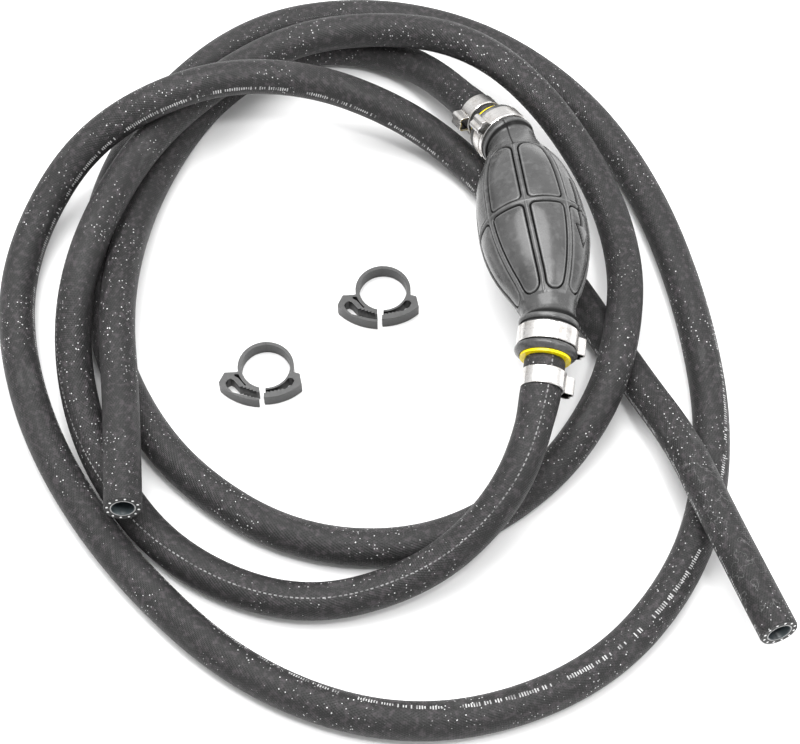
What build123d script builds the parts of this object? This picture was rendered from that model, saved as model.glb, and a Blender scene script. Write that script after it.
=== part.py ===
"""Fuel line with a hand primer bulb, two loose snap-grip clamps beside it.  Millimetres, +Z up.

Two lengths of reinforced rubber hose are clamped to the necks of a squeeze bulb.  A check valve in each
neck lets fuel pass one way only: in at the inlet neck, out at the outlet neck.  The long outlet hose lies
in a loose coil round the bulb, and both free ends of hose are cut square.
"""
from build123d import *
import os
from math import acos, cos, radians, sin, tan

# --- driving dimensions --------------------------------------------------------------------------------
HOSE_OD = 16.5              # 3/8 inch reinforced fuel hose
HOSE_ID = 9.5
HOSE_SWOLLEN_OD = 17.8      # where the barb stretches it
FREE_STUB = 25.0            # straight length of hose at each free end
FLOOR = HOSE_OD / 2         # height of a strand that lies on the ground

BULB_INLET = Vector(52.6, 99.8, 39.0)      # pivot of each neck, where it leaves the barrel
BULB_OUTLET = Vector(65.7, -0.1, 48.1)
INLET_AXIS = Vector(-0.45, 0.83, -0.33)        # each neck's axis, away from the barrel
OUTLET_AXIS = Vector(-0.12941, -0.98296, -0.13053)
BARREL_SIDE_SHIFT = 1.2     # the barrel sits this far to +X of the line between the pivots
WALL = 3.0                  # rubber wall of the barrel
WAIST_R = 11.9              # neck just outside the barrel
COLLAR_R = 13.3             # raised collar between the waist and the clamp
NECK_BORE_R = 9.0
RIB_HEIGHT = 0.8
RIB_WIDTH = 2.4
RIB_COUNT = 8
RIB_START, RIB_END = 14.5, 94.5            # stretch of the barrel that has ribs
RIB_RING_AT = 52.5          # the one rib that runs round the barrel
RIB_PHASE = 11.3            # degrees from the barrel's side direction to the first rib
FIT = 0.03                  # gap between the flexing bulb and what sits in or on its necks

BAND_START, BAND_END = 6.0, 14.0            # neck clamp, from the pivot
BAND_SEAT_R = 12.5
RIM_R = {"inlet": 13.2, "outlet": 13.9}    # rolled rim round the mouth of each neck
MOUTH = 20.3                # end of the rubber neck
LIP_R = 11.9                # where the rolled rim meets the mouth
FLANGE_START, FLANGE_END = 17.2, 19.6
FLANGE_R = 11.2
HOSE_CLAMP_START, HOSE_CLAMP_END = 25.5, 33.5
BARB_END = 35.6
SLEEVE_END = 36.3           # end of the hose's stretched length
BARB_R = 5.5
BARB_ROOT_R = 4.9
VALVE_BORE_R = 3.5
CHAMBER_R = 7.0
CHAMBER_START, CHAMBER_END = 1.0, 14.0
SEAT_THICK = 2.4
SEAL_THICK = 0.8
POPPET_R = 5.8
POPPET_THICK = 1.6
STEM_R = 1.4
SPRING_R = 3.6
SPRING_WIRE = 0.6
SPRING_TURNS = 5
BAND_THICK = 0.8
EAR_WIDTH = 7.0
EAR_HEIGHT = 5.6

SNAP_INNER_R = 11.25        # loose snap-grip clamps
SNAP_WALL = 1.7
SNAP_HEIGHT = 7.0
SNAP_HINGE_GAP = 0.12
SNAP_KNUCKLE_R = 0.85
SNAP_THIN_WALL = 1.0
SNAP_CENTRES = {"a": (-8.0, 40.6), "b": (-61.6, -0.8)}

# The part's origin, seen from the middle of the coil that the numbers here are laid out from.
ORIGIN = Vector(1.5, 48.5, 0)

# --- the two hoses' routes, from the neck to the free end ------------------------------------------------
INLET_ROUTE = [
    (8, 170, 12), (-23, 184, FLOOR), (-60, 180, FLOOR), (-92, 154, FLOOR), (-113, 119, FLOOR),
    (-127, 75, 12), (-130, 20, 27), (-123, -30, 25.5), (-117.5, -85, 34),
]
OUTLET_ROUTE = [
    # inner turn: down beside the bulb, out to the left, up and over the top
    (42, -84, 28.5), (8, -109.5, 13.8), (-44, -121, FLOOR), (-99, -98, FLOOR), (-134.5, -52, FLOOR),
    (-150.5, -2, 12.5), (-147.5, 42, 30), (-127, 104, 26.5), (-95, 145, 25.5), (-53, 176, 25),
    (-6, 181, 27), (34, 163.5, 38), (67, 136, 33), (95, 95, 19), (105, 48, 22), (101, 6, 27.5),
    (90, -28, 18.5), (63, -62, FLOOR), (15, -92, FLOOR), (-44, -91, FLOOR), (-95, -59, FLOOR),
    # second turn, on the ground
    (-127, -13, FLOOR), (-143, 42, FLOOR), (-143, 92, FLOOR), (-122, 146, FLOOR), (-76, 195, FLOOR),
    (-18, 207, FLOOR), (40, 192, FLOOR), (88, 152, FLOOR), (119, 97, FLOOR), (137, 28, FLOOR),
    # outer turn, on the ground
    (142, -40, FLOOR), (127, -101, FLOOR), (82, -153, FLOOR), (10, -175, FLOOR), (-60, -155, FLOOR),
    (-118, -104, FLOOR), (-160, -43, FLOOR), (-180, 19, FLOOR),
    # over the other turns, under the bulb and out to the free end
    (-177, 70, 10), (-148, 110, 34), (-97, 132, 48.5), (-48, 141, 40), (0, 133, 22), (36, 110, FLOOR),
    (70, 60, FLOOR), (107, -8, FLOOR), (124, -49, 24.5), (136, -85, 26.5), (155, -141.5, 35.5),
]
INLET_FIRST_CORNER = 51.0   # distance from the pivot to the route's first corner, along the neck's axis
OUTLET_FIRST_CORNER = 51.5
RUNS_PER_SPAN = 3

os.makedirs("parts", exist_ok=True)


def save(node, *solids):
    shape = solids[0] if len(solids) == 1 else Compound(children=list(solids))
    shape.label = node
    export_step(shape, f"parts/{node}.step")


def turned(points):
    """Solid of revolution about Z from (radius, height) points."""
    outline = Polyline(*[(radius, 0, height) for radius, height in points], close=True)
    return revolve(make_face(outline), Axis.Z)


def ring(outer, inner, low, high):
    return turned([(inner, low), (outer, low), (outer, high), (inner, high)])


def rod(radius, low, high):
    return turned([(0, low), (radius, low), (radius, high), (0, high)])


def frame_at(point, axis, side):
    """Plane whose Z is the axis and whose X is the given side direction, squared up to it."""
    flat = side - axis * side.dot(axis)
    return Plane(origin=point - ORIGIN, x_dir=flat.normalized(), z_dir=axis.normalized())


def placed(plane, solid):
    return plane.location * solid


# --- frames ------------------------------------------------------------------------------------------------
BARREL_LENGTH = (BULB_OUTLET - BULB_INLET).length
BARREL_AXIS = (BULB_OUTLET - BULB_INLET).normalized()
BARREL_SIDE = Vector(-BARREL_AXIS.Y, BARREL_AXIS.X, 0).normalized()
barrel_frame = frame_at(BULB_INLET + BARREL_SIDE * BARREL_SIDE_SHIFT, BARREL_AXIS, BARREL_SIDE)

ENDS = {
    "inlet": {
        "point": BULB_INLET, "axis": INLET_AXIS.normalized(), "corner": INLET_FIRST_CORNER,
        "neck_ear": Vector(-0.45, -0.43, 0.78), "hose_ear": Vector(-0.9, -0.3, 0.2),
    },
    "outlet": {
        "point": BULB_OUTLET, "axis": OUTLET_AXIS.normalized(), "corner": OUTLET_FIRST_CORNER,
        "neck_ear": Vector(0.93, 0, -0.37), "hose_ear": Vector(0.93, 0, -0.37),
    },
}


# --- bulb --------------------------------------------------------------------------------------------------
def barrel_profile(inset):
    """Half outline of the barrel as (distance from the inlet pivot, radius), a wall thickness inside."""
    outline = [
        (0, 11.6), (4, 12.5), (9.5, 14.9), (16, 18.1), (23, 20.8), (33, 23.0), (45, 24.1), (54, 24.3),
        (63, 23.6), (72, 21.8), (80, 19.2), (87, 16.1), (93, 13.4), (97.5, 12.1), (BARREL_LENGTH, 11.6),
    ]
    return [(distance, radius - inset) for distance, radius in outline]


def barrel_solid(inset):
    points = [(radius, 0, distance) for distance, radius in barrel_profile(inset)]
    curve = Spline(*points)
    back = Polyline(points[-1], (0, 0, points[-1][2]), (0, 0, points[0][2]), points[0])
    return revolve(make_face([curve, back]), Axis.Z)


def neck_outside(rim_r):
    return turned([
        (0, 0), (WAIST_R, 0), (WAIST_R + 0.1, 1.3), (COLLAR_R, 2.4), (COLLAR_R, 4.2), (BAND_SEAT_R, 5.6),
        (BAND_SEAT_R, BAND_END + 0.3), (rim_r - 0.4, 15.3), (rim_r, 16.5), (rim_r - 0.15, 18.6),
        (rim_r - 1.1, 20.0), (LIP_R, MOUTH), (0, MOUTH),
    ])


def neck_inside():
    return turned([
        (0, -1), (NECK_BORE_R, -1), (NECK_BORE_R, FLANGE_START), (FLANGE_R + FIT, FLANGE_START),
        (FLANGE_R + FIT, MOUTH + 1), (0, MOUTH + 1),
    ])


def ribs():
    """Raised ribs: eight along the barrel between its shoulders, and one round it."""
    skin = barrel_solid(-RIB_HEIGHT)
    blades = [
        Rot(0, 0, RIB_PHASE + 180 * 2 * index / RIB_COUNT)
        * Pos(0, 0, (RIB_START + RIB_END) / 2)
        * Box(80, RIB_WIDTH, RIB_END - RIB_START)
        for index in range(RIB_COUNT // 2)
    ]
    blades.append(Pos(0, 0, RIB_RING_AT) * Cylinder(40, RIB_WIDTH))
    cage = blades[0]
    for blade in blades[1:]:
        cage = cage + blade
    return skin & cage


def bulb():
    outside = placed(barrel_frame, barrel_solid(0) + ribs())
    inside = placed(barrel_frame, barrel_solid(WALL))
    for name, end in ENDS.items():
        frame = frame_at(end["point"], end["axis"], end["neck_ear"])
        outside = outside + placed(frame, neck_outside(RIM_R[name]) + Sphere(WAIST_R))
        inside = inside + placed(frame, neck_inside() + Sphere(NECK_BORE_R - 0.2))
    return outside - inside


# --- check valves --------------------------------------------------------------------------------------------
def valve_body():
    body_r = NECK_BORE_R - FIT
    barb = []
    count = 3
    pitch = (BARB_END - FLANGE_END - 3) / count
    for index in range(count):
        low = FLANGE_END + 3 + index * pitch
        barb += [(BARB_R, low), (BARB_ROOT_R, low + pitch * 0.96)]
    return turned([
        (CHAMBER_R, CHAMBER_START), (body_r, CHAMBER_START), (body_r, FLANGE_START),
        (FLANGE_R, FLANGE_START), (FLANGE_R, FLANGE_END), (BARB_ROOT_R, FLANGE_END),
        (BARB_ROOT_R, FLANGE_END + 2.9), *barb, (BARB_ROOT_R - 0.3, BARB_END),
        (VALVE_BORE_R, BARB_END), (VALVE_BORE_R, CHAMBER_END), (CHAMBER_R, CHAMBER_END),
    ])


def poppet(face, direction):
    """Disc against the seal with its stem pointing the way the flow goes."""
    back = face + direction * POPPET_THICK
    tip = back + direction * 6.2
    disc = rod(POPPET_R, min(face, back), max(face, back))
    return disc + rod(STEM_R, min(back, tip), max(back, tip))


def spring(low, high):
    """Open coil between two faces, its wire just clear of both."""
    height = high - low - SPRING_WIRE
    coil = Helix(pitch=height / SPRING_TURNS, height=height, radius=SPRING_R)
    start = Plane(origin=coil @ 0, z_dir=coil % 0)
    return Pos(0, 0, low + SPRING_WIRE / 2) * sweep(start * Circle(SPRING_WIRE / 2), coil, is_frenet=True)


def washer(low, hole_r):
    return ring(POPPET_R - 0.2, hole_r, low, low + SEAL_THICK)


def save_outlet_valve(frame):
    seat_top = CHAMBER_START + SEAT_THICK
    face = seat_top + SEAL_THICK
    save("outlet_valve_body", placed(frame, valve_body()))
    save("outlet_valve_seat", placed(frame, ring(CHAMBER_R, 4.5, CHAMBER_START, seat_top)))
    save("outlet_valve_seal", placed(frame, washer(seat_top, 1.5)))
    save("outlet_valve_poppet", placed(frame, poppet(face, 1)))
    save("outlet_valve_spring", placed(frame, spring(face + POPPET_THICK, CHAMBER_END)))


def save_inlet_valve(frame):
    keeper_top = CHAMBER_START + SEAT_THICK
    face = CHAMBER_END - SEAL_THICK
    keeper = ring(CHAMBER_R, 2.6, CHAMBER_START, keeper_top)
    for index in range(4):
        hole = rod(1.1, 0, keeper_top + 1)
        keeper = keeper - Rot(0, 0, 90 * index) * Pos(5.2, 0, 0) * hole
    save("inlet_valve_body", placed(frame, valve_body()))
    save("inlet_valve_retainer", placed(frame, keeper))
    save("inlet_valve_seal", placed(frame, washer(face, 1.5)))
    save("inlet_valve_poppet", placed(frame, poppet(face, -1)))
    save("inlet_valve_spring", placed(frame, spring(keeper_top, face - POPPET_THICK)))


# --- ear clamps ------------------------------------------------------------------------------------------------
def ear_clamp(inner_r, low, high):
    """Stainless band with one raised, hollow ear towards local +X."""
    width = high - low
    outer_r = inner_r + BAND_THICK
    middle = outer_r + EAR_HEIGHT / 2 - 0.5
    ear = Rectangle(EAR_HEIGHT + 1, EAR_WIDTH) - Rectangle(EAR_HEIGHT - 1, EAR_WIDTH - 2 * BAND_THICK)
    outline = (Circle(outer_r) + Pos(middle, 0) * ear) - Circle(inner_r)
    return Pos(0, 0, low) * extrude(outline, width)


def save_clamps(name, end):
    neck = frame_at(end["point"], end["axis"], end["neck_ear"])
    hose = frame_at(end["point"], end["axis"], end["hose_ear"])
    save(f"{name}_neck_clamp", placed(neck, ear_clamp(BAND_SEAT_R + FIT, BAND_START, BAND_END)))
    hose_band = ear_clamp(HOSE_SWOLLEN_OD / 2, HOSE_CLAMP_START, HOSE_CLAMP_END)
    save(f"{name}_hose_clamp", placed(hose, hose_band))


# --- hoses -------------------------------------------------------------------------------------------------------
def stretched_sleeve():
    """The hose's first length, stretched over the barb and eased back to its own size."""
    return turned([
        (BARB_R, FLANGE_END), (HOSE_OD / 2 + 0.7, FLANGE_END), (HOSE_SWOLLEN_OD / 2, FLANGE_END + 3),
        (HOSE_SWOLLEN_OD / 2, HOSE_CLAMP_END), (HOSE_OD / 2, SLEEVE_END), (HOSE_ID / 2, SLEEVE_END),
        (BARB_R, BARB_END),
    ])


def turn_angle(before, corner, after):
    return (corner - before).get_angle(after - corner)


def corner_radii(points):
    """Largest equal arc that each corner's two runs allow."""
    radii = []
    for before, corner, after in zip(points, points[1:], points[2:]):
        shorter = min((corner - before).length, (after - corner).length)
        half_turn = radians(turn_angle(before, corner, after) / 2)
        radii.append(0.45 * shorter / tan(half_turn))
    return radii


def tube(points, radii):
    path = FilletPolyline(*points, radius=radii) if radii else Polyline(*points)
    start = Plane(origin=path @ 0, z_dir=path % 0)
    section = start * (Circle(HOSE_OD / 2) - Circle(HOSE_ID / 2))
    return sweep(section, path), path.length


def hose(name, end, route):
    first = end["point"] - ORIGIN
    corner = first + end["axis"] * end["corner"]
    points = [first + end["axis"] * FLANGE_END, corner] + [Vector(*point) - ORIGIN for point in route]
    radii = corner_radii(points)
    last_run = (points[-1] - points[-2]).normalized()
    stub_start = points[-1] - last_run * FREE_STUB
    sleeve = placed(frame_at(end["point"], end["axis"], end["hose_ear"]), stretched_sleeve())
    cuts = list(range(RUNS_PER_SPAN, len(points) - 3, RUNS_PER_SPAN))
    span_start = first + end["axis"] * SLEEVE_END
    corner_index = 1
    solids = [sleeve]
    length = SLEEVE_END - FLANGE_END + FREE_STUB
    for cut in cuts + [len(points) - 2]:
        is_last = cut == len(points) - 2
        span_end = stub_start if is_last else (points[cut] + points[cut + 1]) / 2
        corners = points[corner_index:cut + 1]
        solid, span_length = tube([span_start, *corners, span_end], radii[corner_index - 1:cut])
        solids.append(solid)
        length += span_length
        span_start = span_end
        corner_index = cut + 1
    free_end, _ = tube([stub_start, points[-1]], None)
    solids.append(free_end)
    section = Circle(HOSE_OD / 2).area - Circle(HOSE_ID / 2).area
    swept = sum(solid.volume for solid in solids[1:])
    ideal = section * (length - (SLEEVE_END - FLANGE_END))
    print(f"{name}: {length:.0f} mm long, radii {[round(radius) for radius in radii]}")
    print(f"{name}: swept volume / (section x length) = {swept / ideal:.4f}, {len(solids)} solids")
    print(f"{name}: free end at {points[-1]}, pointing {last_run}")
    save(name, *solids)


# --- snap-grip clamps -----------------------------------------------------------------------------------------------
def saw_teeth(start, end, count, depth):
    """Zigzag from start towards end: each tooth rises slowly and drops back sharply."""
    start, end = Vector(*start), Vector(*end)
    step = (end - start) / count
    across = Vector(-step.Y, step.X).normalized() * depth
    points = []
    for index in range(count):
        foot = start + step * index
        points += [foot, foot + step * 0.85 + across]
    return [(point.X, point.Y) for point in points] + [(end.X, end.Y)]


def outline_face(*points):
    return make_face(Polyline(*points, close=True))


def snap_base():
    """Left half of a snap-grip clamp: half ring, toothed inner prong and outer shell."""
    outer_r = SNAP_INNER_R + SNAP_WALL
    lip = (-2.4, -17.7)
    shell = ThreePointArc((-20.6, -9.9), (-12.5, -15.4), lip)
    edge = Polyline(lip, (-2.6, -9), (-11, -2), (-13.2, -3.0), (-18.9, -3.3), (-21.2, -8.5), (-20.6, -9.9))
    jaw = make_face([shell, edge])
    teeth = saw_teeth((-11.6, -10.8), (-2.2, -14.2), 6, 0.8)
    hollow = outline_face(
        (-18.1, -8.9), (-17.2, -7.2), (-15.9, -6.5), (-14.4, -7.3), *teeth,
        (-2.2, -16.6), (-6, -16), (-11, -14.6), (-14.6, -13.6), (-17.3, -10.8),
    )
    slit = outline_face((-12, -4.2), (-14.2, -4.2), (-14.2, -5.1), (-12.4, -6.1), (-9, -10.3), (-8.4, -9.4))
    half_ring = (Circle(outer_r) - Circle(SNAP_INNER_R)) & Pos(-20, 0) * Rectangle(40, 40)
    tip_side = Pos(17.4, -10) * Rectangle(40, 20)
    face = half_ring - tip_side + (jaw - Circle(SNAP_INNER_R)) - hollow - (slit - Circle(outer_r))
    hinge = Pos(0, SNAP_INNER_R + SNAP_WALL / 2)
    back_gap = Pos(0, outer_r) * Rectangle(2 * SNAP_HINGE_GAP, 6)
    return extrude(face - hinge * Circle(SNAP_KNUCKLE_R + 0.05) - back_gap, SNAP_HEIGHT)


def snap_jaw():
    """Right half: half ring, thin inner lip, slot and thick toothed finger."""
    outer_r = SNAP_INNER_R + SNAP_WALL
    thin_r = SNAP_INNER_R + SNAP_THIN_WALL
    tip = (-0.2, -16.4)
    back = ThreePointArc((16.8, -9.4), (9.5, -14.3), tip)
    edge = Polyline(tip, (-0.4, -15.6), (-0.4, -14.2), (0.2, -9), (11, -2), (13.0, -3.1), (15.7, -3.8),
                    (16.8, -9.4))
    jaw = make_face([back, edge])
    teeth = saw_teeth((9.2, -11.8), (-1, -14.1), 6, -0.6)
    slot = outline_face((-1, -10), (8, -7), (11.2, -6.2), (12.5, -6.4), (13.3, -7.6), (12.4, -9.6), *teeth)
    half_ring = (Circle(outer_r) - Circle(SNAP_INNER_R)) & Pos(20, 0) * Rectangle(40, 40)
    lower_ring = Pos(20, -12.5) * Rectangle(39.6, 15)
    ring_face = half_ring - (lower_ring - Circle(thin_r))
    face = ring_face + (jaw - Circle(SNAP_INNER_R)) - (slot - Circle(thin_r))
    knuckle = Pos(0, SNAP_INNER_R + SNAP_WALL / 2) * Circle(SNAP_KNUCKLE_R)
    lip_cut = Pos(-19.8, -12) * Rectangle(40, 3.8)
    return extrude(face - lip_cut + knuckle, SNAP_HEIGHT)


def save_snap_clamps():
    for name, centre in SNAP_CENTRES.items():
        place = Pos(centre[0] - ORIGIN.X, centre[1] - ORIGIN.Y, 0)
        save(f"snap_clamp_{name}_base", place * snap_base())
        save(f"snap_clamp_{name}_jaw", place * snap_jaw())


save("bulb", bulb())
for name, end in ENDS.items():
    valve_frame = frame_at(end["point"], end["axis"], end["hose_ear"])
    if name == "inlet":
        save_inlet_valve(valve_frame)
    else:
        save_outlet_valve(valve_frame)
    save_clamps(name, end)
save_snap_clamps()
hose("inlet_hose", ENDS["inlet"], INLET_ROUTE)
hose("outlet_hose", ENDS["outlet"], OUTLET_ROUTE)
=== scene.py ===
"""Fuel line with a primer bulb, for Blender 4.5.  Metres, in the CAD part's frame.

The frame gives the places and the moving bodies.  This script makes what is seen: the two hoses, the
ribbed bulb, the ear clamps and the snap-grip clamps, and a material for every piece and CAD node.
"""
from math import ceil, cos, hypot, pi, radians, sin, tau

import bmesh
import bpy
import numpy as np
from mathutils import Matrix, Vector


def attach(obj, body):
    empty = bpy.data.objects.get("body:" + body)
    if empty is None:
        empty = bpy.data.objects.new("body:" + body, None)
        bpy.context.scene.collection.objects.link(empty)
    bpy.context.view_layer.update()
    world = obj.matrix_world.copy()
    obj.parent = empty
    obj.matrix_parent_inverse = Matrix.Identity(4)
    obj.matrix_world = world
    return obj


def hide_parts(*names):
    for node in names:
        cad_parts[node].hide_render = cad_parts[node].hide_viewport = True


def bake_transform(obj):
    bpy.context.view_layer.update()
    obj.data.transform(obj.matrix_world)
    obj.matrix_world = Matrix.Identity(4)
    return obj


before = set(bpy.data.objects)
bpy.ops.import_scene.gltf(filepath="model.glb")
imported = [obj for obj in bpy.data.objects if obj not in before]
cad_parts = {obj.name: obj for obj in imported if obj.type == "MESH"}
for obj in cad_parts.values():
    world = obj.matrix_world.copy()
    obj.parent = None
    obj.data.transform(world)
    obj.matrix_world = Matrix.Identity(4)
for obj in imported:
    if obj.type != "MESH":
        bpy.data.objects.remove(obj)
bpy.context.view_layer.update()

MM = 0.001
ORIGIN = Vector((1.5, 48.5, 0.0)) * MM      # the part's origin, seen from the middle of the coil

# --- sizes, in metres where no unit is given ---
HOSE_R = 8.25 * MM
BORE_R = 4.75 * MM
FLOOR = 8.25                # millimetres: height of a strand that lies on the ground
FLANGE_END = 19.6           # distances along a neck from its pivot, in millimetres
INLET_AXIS = Vector((-0.45, 0.83, -0.33)).normalized()
OUTLET_AXIS = Vector((-0.12941, -0.98296, -0.13053)).normalized()
INLET_PIVOT = Vector((52.6, 99.8, 39.0)) * MM - ORIGIN
OUTLET_PIVOT = Vector((65.7, -0.1, 48.1)) * MM - ORIGIN

# --- camera ---
CAMERA_ELEVATION = radians(61)
CAMERA_DISTANCE = 0.855
CAMERA_LENS = 83.25         # millimetres, for the sensor below
SENSOR_WIDTH = 36


def make_camera():
    data = bpy.data.cameras.new("camera")
    data.lens = CAMERA_LENS
    data.sensor_width = SENSOR_WIDTH
    camera = bpy.data.objects.new("camera", data)
    bpy.context.scene.collection.objects.link(camera)
    back = Vector((0, -cos(CAMERA_ELEVATION), sin(CAMERA_ELEVATION)))
    camera.location = back * CAMERA_DISTANCE - ORIGIN
    camera.rotation_euler = (pi / 2 - CAMERA_ELEVATION, 0, 0)
    bpy.context.scene.camera = camera


make_camera()

# --- the hoses' routes ---
# Control points of a smooth line, in millimetres from the middle of the coil.
INLET_ROUTE = [
    (8, 170, 12), (-23, 184, FLOOR), (-60, 180, FLOOR), (-92, 154, FLOOR), (-113, 119, FLOOR),
    (-127, 75, 12), (-130, 20, 27), (-123, -30, 25.5), (-117.5, -85, 34),
]
OUTLET_ROUTE = [
    # inner turn: down beside the bulb, out to the left, up and over the top
    (42, -84, 28.5), (8, -109.5, 13.8), (-44, -121, FLOOR), (-99, -98, FLOOR), (-134.5, -52, FLOOR),
    (-150.5, -2, 12.5), (-147.5, 42, 30), (-127, 104, 26.5), (-95, 145, 25.5), (-53, 176, 25),
    (-6, 181, 27), (34, 163.5, 38), (67, 136, 33), (95, 95, 19), (105, 48, 22), (101, 6, 27.5),
    (90, -28, 18.5), (63, -62, FLOOR), (15, -92, FLOOR), (-44, -91, FLOOR), (-95, -59, FLOOR),
    # second turn, on the ground
    (-127, -13, FLOOR), (-143, 42, FLOOR), (-143, 92, FLOOR), (-122, 146, FLOOR), (-76, 195, FLOOR),
    (-18, 207, FLOOR), (40, 192, FLOOR), (88, 152, FLOOR), (119, 97, FLOOR), (137, 28, FLOOR),
    # outer turn, on the ground
    (142, -40, FLOOR), (127, -101, FLOOR), (82, -153, FLOOR), (10, -175, FLOOR), (-60, -155, FLOOR),
    (-118, -104, FLOOR), (-160, -43, FLOOR), (-180, 19, FLOOR),
    # over the other turns, under the bulb and out to the free end
    (-177, 70, 10), (-148, 110, 34), (-97, 132, 48.5), (-48, 141, 40), (0, 133, 22), (36, 110, FLOOR),
    (70, 60, FLOOR), (107, -8, FLOOR), (124, -49, 24.5), (136, -85, 26.5), (155, -141.5, 35.5),
]
FIRST_CORNER = {"inlet": 51.0, "outlet": 51.5}      # from the pivot, along the neck's axis


def route_points(name, pivot, axis, route):
    start = [pivot + axis * FLANGE_END * MM, pivot + axis * FIRST_CORNER[name] * MM]
    return start + [Vector(point) * MM - ORIGIN for point in route]


def smooth_line(points, resolution=14):
    """Points of the quadratic NURBS curve that has the route's points as its control points."""
    curve = bpy.data.curves.new("route", "CURVE")
    curve.dimensions = "3D"
    curve.resolution_u = resolution
    spline = curve.splines.new("NURBS")
    spline.points.add(len(points) - 1)
    for control, point in zip(spline.points, points):
        control.co = (*point, 1)
    spline.order_u = 3
    spline.use_endpoint_u = True
    holder = bpy.data.objects.new("route", curve)
    line = bpy.data.meshes.new_from_object(holder)
    path = np.array([vertex.co[:] for vertex in line.vertices])
    bpy.data.objects.remove(holder)
    bpy.data.curves.remove(curve)
    bpy.data.meshes.remove(line)
    return path


# --- mesh helpers ---
def new_object(name, vertices, faces):
    mesh = bpy.data.meshes.new(name)
    mesh.from_pydata([tuple(v) for v in vertices], [], faces)
    mesh.update()
    mesh.shade_smooth()
    piece = bpy.data.objects.new(name, mesh)
    bpy.context.scene.collection.objects.link(piece)
    return piece


def vector_attribute(mesh, name, values):
    attribute = mesh.attributes.new(name, "FLOAT_VECTOR", "POINT")
    attribute.data.foreach_set("vector", np.asarray(values, dtype=np.float32).ravel())


def float_attribute(mesh, name, values):
    attribute = mesh.attributes.new(name, "FLOAT", "POINT")
    attribute.data.foreach_set("value", np.asarray(values, dtype=np.float32).ravel())


def ring_faces(rings, around):
    """Quads between successive rings of vertices, and a cap on each end."""
    faces = []
    for ring in range(rings - 1):
        for step in range(around):
            a = ring * around + step
            b = ring * around + (step + 1) % around
            faces.append((a, b, b + around, a + around))
    faces.append(tuple(reversed(range(around))))
    faces.append(tuple(range((rings - 1) * around, rings * around)))
    return faces


def smoothstep(low, high, value):
    t = np.clip((value - low) / (high - low), 0, 1)
    return t * t * (3 - 2 * t)


def axes_matrix(point, axis, side):
    """Frame at a point whose Z is the axis and whose X is the side direction, squared up to it."""
    z = axis.normalized()
    x = (side - z * side.dot(z)).normalized()
    y = z.cross(x)
    return Matrix.Translation(point) @ Matrix((x, y, z)).transposed().to_4x4()


# --- materials ---
class Shader:
    """Small helper that adds and joins shader nodes."""

    def __init__(self, name):
        self.material = bpy.data.materials.new(name)
        self.material.use_nodes = True
        self.tree = self.material.node_tree
        self.surface = self.tree.nodes["Principled BSDF"]

    def node(self, kind, settings=None, **inputs):
        made = self.tree.nodes.new(kind)
        for key, value in (settings or {}).items():
            setattr(made, key, value)
        for key, value in inputs.items():
            self.set(made, key.replace("_", " "), value)
        return made

    def set(self, node, key, value):
        socket = node.inputs[int(key[1:])] if key[0] == "i" and key[1:].isdigit() else node.inputs[key]
        if isinstance(value, bpy.types.NodeSocket):
            self.tree.links.new(value, socket)
        else:
            socket.default_value = value

    def math(self, operation, a, b=0.0):
        return self.node("ShaderNodeMath", {"operation": operation}, i0=a, i1=b).outputs[0]

    def band(self, value, low, high, result=(0.0, 1.0)):
        """Smooth ramp of a value from low to high."""
        made = self.node("ShaderNodeMapRange", {"interpolation_type": "SMOOTHSTEP"}, Value=value)
        for index, number in enumerate((low, high, *result), start=1):
            made.inputs[index].default_value = number
        return made.outputs[0]

    def mix(self, factor, a, b):
        made = self.node("ShaderNodeMix", {"data_type": "RGBA"})
        self.set(made, "i0", factor)
        self.set(made, "i6", a)
        self.set(made, "i7", b)
        return made.outputs[2]

    def noise(self, coordinates, scale, detail=3.0, roughness=0.5):
        made = self.node("ShaderNodeTexNoise", Vector=coordinates, Scale=scale, Detail=detail,
                         Roughness=roughness)
        return made.outputs[0]

    def voronoi(self, coordinates, scale):
        return self.node("ShaderNodeTexVoronoi", {"feature": "F1"}, Vector=coordinates, Scale=scale)

    def attribute(self, name):
        return self.node("ShaderNodeAttribute", {"attribute_name": name})

    def coordinates(self):
        return self.node("ShaderNodeTexCoord").outputs["Object"]

    def scaled(self, vector, amounts):
        return self.node("ShaderNodeMapping", Vector=vector, Scale=amounts).outputs[0]

    def bump(self, height, distance, strength=1.0, normal=None):
        made = self.node("ShaderNodeBump", Height=height, Distance=distance, Strength=strength)
        if normal is not None:
            self.set(made, "Normal", normal)
        return made.outputs[0]

    def finish(self, **sockets):
        for key, value in sockets.items():
            self.set(self.surface, key.replace("_", " "), value)
        return self.material


def grey(level, warmth=0.0):
    return (level * (1 + warmth), level, level * (1 - warmth), 1)


MARK_CELL = 0.00115         # metres along the hose: one printed tick and the gap beside it
MARK_GROUP = 0.046          # one group of ticks and the blank after it
DASH_PITCH = 0.0023
DASHED_UNTIL = 0.66         # metres from the fitted end: a dashed line up to here and ticks after it
SCRAPED_FROM = 2.725        # the last stretch before the long hose's free end


def dust_specks(s, along):
    """Specks of dust, larger in some places than in others."""
    specks = s.voronoi(along, 620.0)
    size = s.band(s.noise(along, 30.0, 3.0), 0.38, 0.58, (0.05, 0.20))
    dot = s.math("LESS_THAN", specks.outputs["Distance"], size)
    chosen = s.node("ShaderNodeSeparateXYZ", Vector=specks.outputs["Color"])
    kept = s.math("GREATER_THAN", chosen.outputs[0], 0.30)
    return s.math("MULTIPLY", s.math("MULTIPLY", dot, kept), chosen.outputs[1])


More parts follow.
